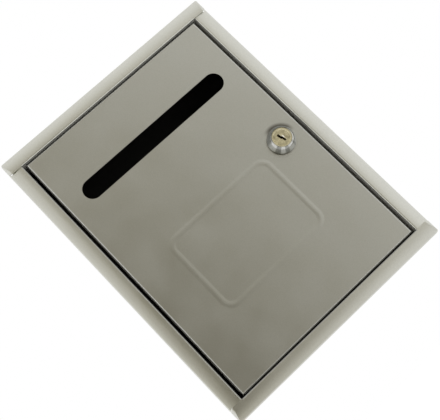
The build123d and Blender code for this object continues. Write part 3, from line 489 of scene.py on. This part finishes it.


# The door is one shallow pan with folded edges, in the same stoving paint, a shade
# darker than the box. Its edges turn back, and from DOOR_EDGE back they take painted
# shade, so that the gaps round it look black.
DOOR_SILVER = ("C0C1BB", "C8C8C3")
DOOR_EDGE = 1.1 * MM  # depth at which painted shade takes over on the door's edges
# The lock's head has a painted shadow on the door beside it, in this colour.
PAINTED_SHADOW = "4A453D"
PAINTED_SHADOW_REACH = (11.4 * MM, 15.2 * MM)  # from the lock's middle, where it is full and is gone
PAINTED_SHADOW_SIDE = Vector((0.51, 0, 0.86))  # where it is darkest
PAINTED_SHADOW_SPREAD = (0.40, 0.90)  # cosines from there, where it starts and is full
PAINTED_SHADOW_STRENGTH = 0.90

door_lo, door_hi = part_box("door_panel")
door_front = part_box("lock_washer")[0].y - LAP_GAP - SHEET
skin = Vector((SHEET / 2, 0, SHEET / 2))
door_inside = (
    Vector((door_lo.x, door_front, door_lo.z)) + skin + Vector((0, SHEET / 2, 0)),
    Vector((door_hi.x, door_hi.y + SHEET, door_hi.z)) - skin,
)
door_edges = (
    Vector((door_lo.x - SHEET, door_front + DOOR_EDGE, door_lo.z - SHEET)),
    Vector((door_hi.x + SHEET, door_hi.y + SHEET, door_hi.z + SHEET)),
)
lock_joint = next(joint for joint in frame["joints"] if joint["name"] == "lock_turn")
lock_x, lock_front, lock_z = lock_joint["pos_m"]


def shadow_round_lock(tree, place):
    """A soft mask on one side of the lock's head: its painted shadow on the door."""
    offset = add_node(tree, "VectorMath", {0: place, 1: (lock_x, door_front, lock_z)}, operation="SUBTRACT")
    away = add_node(tree, "VectorMath", {0: offset}, operation="LENGTH").outputs["Value"]
    unit = add_node(tree, "VectorMath", {0: offset}, operation="NORMALIZE")
    towards = add_node(tree, "VectorMath", {0: unit, 1: PAINTED_SHADOW_SIDE}, operation="DOT_PRODUCT").outputs["Value"]
    near = {"Value": away, "From Min": PAINTED_SHADOW_REACH[1], "From Max": PAINTED_SHADOW_REACH[0]}
    near = add_node(tree, "MapRange", near, interpolation_type="SMOOTHSTEP")
    facing = {"Value": towards, "From Min": PAINTED_SHADOW_SPREAD[0], "From Max": PAINTED_SHADOW_SPREAD[1]}
    facing["To Max"] = PAINTED_SHADOW_STRENGTH
    facing = add_node(tree, "MapRange", facing, interpolation_type="SMOOTHSTEP")
    return add_node(tree, "Math", {0: near, 1: facing}, operation="MULTIPLY")


door_hidden = [door_inside, door_edges]
door_paint = silver_paint("stoved_silver_door", DOOR_SILVER, door_hidden, door_front, shadow_round_lock)
give(door_paint, "door_panel")


# The lock's head and barrel are one zinc die casting under bright chrome, with painted
# shade and painted dark reflections in patches down the head's cone. The barrel behind
# the door is threaded for its nut, but for the two flats that stop it from turning.
CHROME = ("D6D6D2", "B4B4AF")
CHROME_SHEEN = (0.05, 0.12)  # roughness
SMEAR = 3 * MM
CAST_RIPPLE = (2.2 * MM, 0.014 * MM)  # breadth and depth
FOOT_HEIGHT = 1.3 * MM  # painted shade where the head meets the door
FOOT_SHADE = 0.8
# Colour of the painted shade and dark reflections on the cone.
CHROME_SHADE = "5D5D57"
CHROME_SHADE_LEFT = (1.0, 0.7)  # shares of it left by the smears
SHADED_CHROME_SIDES = [
    # direction from the lock's middle, cosines where the painted shade starts and is full, strength
    (Vector((-0.34, 0, 0.94)), 0.42, 0.72, 0.80),
    (Vector((0.50, 0, 0.87)), 0.60, 0.85, 0.90),
    (Vector((-0.85, 0, -0.53)), 0.970, 0.992, 0.75),
    (Vector((-0.31, 0, -0.95)), 0.975, 0.993, 0.65),
    (Vector((0.45, 0, -0.89)), 0.985, 0.996, 0.45),
]
THREAD_PITCH = 1.0 * MM
THREAD_RIDGE = 0.3 * MM
RIDGE_SIDES = 4
SPIRAL_STEPS = 60  # to a turn
BARREL_RADIUS = 9.0 * MM
BARREL_END_GAP = 0.3 * MM  # between the barrel and the stop disc
THREAD_END_MARGIN = 0.6 * MM
THREADED_ARC = math.radians(116)  # each side, between the flats
LOCK_LEAN = math.radians(10)  # of the barrel's flats, from upright

chrome, tree, shader, place = new_material("chromed_die_casting", Metallic=1.0)
smear = add_node(tree, "TexNoise", {"Vector": place, "Scale": 1 / SMEAR, "Detail": 5.0})
tone = add_node(tree, "Mix", {0: smear, 6: linear(CHROME[0]), 7: linear(CHROME[1])}, data_type="RGBA")
offset = add_node(tree, "VectorMath", {0: place, 1: (lock_x, 0, lock_z)}, operation="SUBTRACT")
offset = add_node(tree, "VectorMath", {0: offset, 1: (1, 0, 1)}, operation="MULTIPLY")
unit = add_node(tree, "VectorMath", {0: offset}, operation="NORMALIZE")
chrome_shade_mask = 0.0
for side, start, full, strength in SHADED_CHROME_SIDES:
    towards = add_node(tree, "VectorMath", {0: unit, 1: side}, operation="DOT_PRODUCT").outputs["Value"]
    spread = {"Value": towards, "From Min": start, "From Max": full, "To Max": strength}
    spread = add_node(tree, "MapRange", spread, interpolation_type="SMOOTHSTEP")
    chrome_shade_mask = add_node(tree, "Math", {0: chrome_shade_mask, 1: spread}, operation="MAXIMUM")
blotched = {"Value": smear, "To Min": CHROME_SHADE_LEFT[0], "To Max": CHROME_SHADE_LEFT[1], **NOISE_SPAN}
blotched = add_node(tree, "MapRange", blotched)
chrome_shade_mask = add_node(tree, "Math", {0: chrome_shade_mask, 1: blotched}, operation="MULTIPLY")
tarnish_and_shade = add_node(tree, "Mix", {0: chrome_shade_mask, 6: tone.outputs[2], 7: linear(CHROME_SHADE)}, data_type="RGBA")
height = add_node(tree, "SeparateXYZ", {0: place}).outputs["Y"]
foot = {"Value": height, "From Min": lock_front - FOOT_HEIGHT, "From Max": lock_front - FOOT_HEIGHT / 2}
foot["To Max"] = FOOT_SHADE
foot = add_node(tree, "MapRange", foot)
shaded_foot = add_node(tree, "Mix", {0: foot, 6: tarnish_and_shade.outputs[2], 7: linear(PAINTED_SHADOW)}, data_type="RGBA")
tree.links.new(shaded_foot.outputs[2], shader.inputs["Base Color"])
worn = {"Value": smear, "To Min": CHROME_SHEEN[0], "To Max": CHROME_SHEEN[1], **NOISE_SPAN}
tree.links.new(add_node(tree, "MapRange", worn).outputs[0], shader.inputs["Roughness"])
cast = add_node(tree, "TexNoise", {"Vector": place, "Scale": 1 / CAST_RIPPLE[0], "Detail": 2.0})
rippled = add_node(tree, "Bump", {"Height": cast, "Distance": CAST_RIPPLE[1]})
tree.links.new(rippled.outputs[0], shader.inputs["Normal"])
give(chrome, "lock_housing")

# One arc of ridge, set at every half pitch and turned to one side and the other.
tree, given, result = geometry_tree(
    "barrel_thread", Pitch="Float", Radius="Float", Ridge="Float", Arcs="Int", Arc="Float", Finish="Material"
)
share = add_node(tree, "Math", {0: given["Arc"], 1: math.tau}, operation="DIVIDE")
rise = add_node(tree, "Math", {0: given["Pitch"], 1: share}, operation="MULTIPLY")
spiral = {"Resolution": SPIRAL_STEPS, "Rotations": share, "Height": rise}
spiral.update({"Start Radius": given["Radius"], "End Radius": given["Radius"]})
crest = add_node(tree, "GeometryNodeCurveSpiral", spiral)
section = {"Resolution": RIDGE_SIDES, "Radius": given["Ridge"]}
section = add_node(tree, "GeometryNodeCurvePrimitiveCircle", section)
swept = {"Curve": crest, "Profile Curve": section, "Fill Caps": True}
ridge = add_node(tree, "GeometryNodeCurveToMesh", swept)
half_pitch = add_node(tree, "Math", {0: given["Pitch"], 1: 0.5}, operation="MULTIPLY")
step = add_node(tree, "CombineXYZ", {"Z": half_pitch})
starts = add_node(tree, "GeometryNodeMeshLine", {"Count": given["Arcs"], "Offset": step})
spare = add_node(tree, "Math", {0: math.pi, 1: given["Arc"]}, operation="SUBTRACT")
first = add_node(tree, "Math", {0: spare, 1: 0.5}, operation="MULTIPLY")
index = add_node(tree, "GeometryNodeInputIndex")
angle = add_node(tree, "Math", {0: index, 1: math.pi, 2: first}, operation="MULTIPLY_ADD")
turn = add_node(tree, "CombineXYZ", {"Z": angle})
on_barrel = {"Points": starts, "Instance": ridge, "Rotation": turn}
arcs = add_node(tree, "GeometryNodeInstanceOnPoints", on_barrel)
finish_tree(tree, arcs, given["Finish"], result)

thread_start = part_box("lock_nut")[1].y + THREAD_END_MARGIN
thread_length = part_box("cam_stop_disc")[0].y - BARREL_END_GAP - THREAD_END_MARGIN - thread_start
thread = grown(
    "barrel_thread",
    bpy.data.meshes.new("thread_seed"),
    tree,
    Pitch=THREAD_PITCH,
    Radius=BARREL_RADIUS,
    Ridge=THREAD_RIDGE,
    Arcs=int(2 * thread_length / THREAD_PITCH),
    Arc=THREADED_ARC,
    Finish=chrome,
)
lean_x = math.cos(LOCK_LEAN)
lean_z = math.sin(LOCK_LEAN)
lock_frame = Matrix(
    (
        (lean_x, lean_z, 0, lock_x),
        (0, 0, 1, thread_start),
        (lean_z, -lean_x, 0, lock_z),
        (0, 0, 0, 1),
    )
)
thread.data.transform(lock_frame)
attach(thread, "door")


# The plug turns in the head. It is free-cutting brass, faced on a lathe and rubbed by
# the key to a mottled, yellow-grey shine, brighter at its rim. The wafers in it are
# stamped brass, and each has a spring of bright steel wire beside it.
# A painted highlight lies on the face beside the keyway.
BRASS_HIGHLIGHT = "FFFAEC"
STAIN = 2.6 * MM
STAIN_SPAN = {"From Min": 0.35, "From Max": 0.68}
STAIN_DEPTH = 0.03 * MM
RIM_SPAN = {"From Min": 6.2 * MM, "From Max": 6.9 * MM}  # radii of the brighter rim
RIM_WEAR = 0.7
KEY_HIGHLIGHT = Vector((1.35, 0, -0.1)) * MM  # from the lock's middle, where a highlight is painted beside the keyway
KEY_HIGHLIGHT_SIZE = Vector((0.8, 0, 1.7)) * MM
KEY_HIGHLIGHT_SPAN = {"From Min": 1.0, "From Max": 0.5}  # in shares of that size
RING_DEPTH = 0.002 * MM
LATHE_RINGS = 0.35 * MM  # breadth of one, coarser than real, so that they show
STAMPED_LINES = 1.1 * MM


def brass(name, bright, tarnish_and_shade, rough, ring_breadth):
    """Brass with a patchy tarnish, rings about the lock's middle, and a painted highlight beside the keyway.
    """
    material, tree, shader, place = new_material(name, Metallic=1.0)
    patch = add_node(tree, "TexNoise", {"Vector": place, "Scale": 1 / STAIN, "Detail": 5.0})
    stain = add_node(tree, "MapRange", {"Value": patch, **STAIN_SPAN})
    centred = add_node(tree, "Mapping", {"Vector": place, "Location": (-lock_x, 0, -lock_z)})
    x, _, z = add_node(tree, "SeparateXYZ", {0: centred}).outputs
    flat = add_node(tree, "CombineXYZ", {"X": x, "Y": z})
    radius = add_node(tree, "VectorMath", {0: flat}, operation="LENGTH").outputs["Value"]
    rim = add_node(tree, "MapRange", {"Value": radius, "To Max": RIM_WEAR, **RIM_SPAN})
    clean = add_node(tree, "Math", {0: 1.0, 1: rim}, operation="SUBTRACT")
    dirt = add_node(tree, "Math", {0: stain, 1: clean}, operation="MULTIPLY")
    colour = add_node(tree, "Mix", {0: dirt, 6: linear(bright), 7: linear(tarnish_and_shade)}, data_type="RGBA")
    from_highlight = {0: place, 1: (lock_x + KEY_HIGHLIGHT.x, 0, lock_z + KEY_HIGHLIGHT.z)}
    from_highlight = add_node(tree, "VectorMath", from_highlight, operation="SUBTRACT")
    in_highlight = {0: from_highlight, 1: (1 / KEY_HIGHLIGHT_SIZE.x, 0, 1 / KEY_HIGHLIGHT_SIZE.z)}
    in_highlight = add_node(tree, "VectorMath", in_highlight, operation="MULTIPLY")
    in_highlight = add_node(tree, "VectorMath", {0: in_highlight}, operation="LENGTH").outputs["Value"]
    rub_and_highlight = add_node(tree, "MapRange", {"Value": in_highlight, **KEY_HIGHLIGHT_SPAN})
    colour = {0: rub_and_highlight, 6: colour.outputs[2], 7: linear(BRASS_HIGHLIGHT)}
    colour = add_node(tree, "Mix", colour, data_type="RGBA")
    tree.links.new(colour.outputs[2], shader.inputs["Base Color"])
    sheen = {"Value": dirt, "To Min": rough[0], "To Max": rough[1]}
    tree.links.new(add_node(tree, "MapRange", sheen).outputs[0], shader.inputs["Roughness"])
    rings = add_node(tree, "Math", {0: radius, 1: math.tau / ring_breadth}, operation="MULTIPLY")
    ridge = add_node(tree, "Math", {0: rings}, operation="SINE")
    faced = add_node(tree, "Bump", {"Height": ridge, "Distance": RING_DEPTH})
    handled = add_node(tree, "Bump", {"Height": patch, "Distance": STAIN_DEPTH, "Normal": faced})
    tree.links.new(handled.outputs[0], shader.inputs["Normal"])
    return material


turned_brass = brass("turned_brass", "DDD5B6", "A9A184", rough=(0.20, 0.36), ring_breadth=LATHE_RINGS)
give(turned_brass, "lock_plug")
stamped_brass = brass("stamped_brass", "C9B877", "97884F", rough=(0.28, 0.42), ring_breadth=STAMPED_LINES)
give(stamped_brass, "lock_wafers")
spring_wire = plated("spring_wire", bright="B9BBBC", dull="7F8283", rough=(0.18, 0.30), grain=(4, 4, 4))
give(spring_wire, "wafer_springs")


# The nut and its toothed washer clamp the head to the door. The stop disc, the cam
# and its split washer and screw turn with the plug. All are zinc-plated steel, with
# its cloudy bloom, and the cam and disc have the lines of the strip they came from.
bolt_zinc = plated("barrel_plated_zinc", bright="CBCFD2", dull="9EA3A7", rough=(0.22, 0.40), grain=(2, 2, 2))
give(bolt_zinc, "lock_nut", "cam_screw")
pressed_zinc = plated("pressed_zinc", bright="C0C4C6", dull="8F9497", rough=(0.28, 0.46), grain=(5, 1, 1))
give(pressed_zinc, "lock_cam", "cam_stop_disc")
washer_steel = plated(
    "hardened_washer_steel", bright="A9ACAD", dull="6F7273", rough=(0.26, 0.42), grain=(3, 3, 3)
)
give(washer_steel, "lock_washer", "cam_washer")
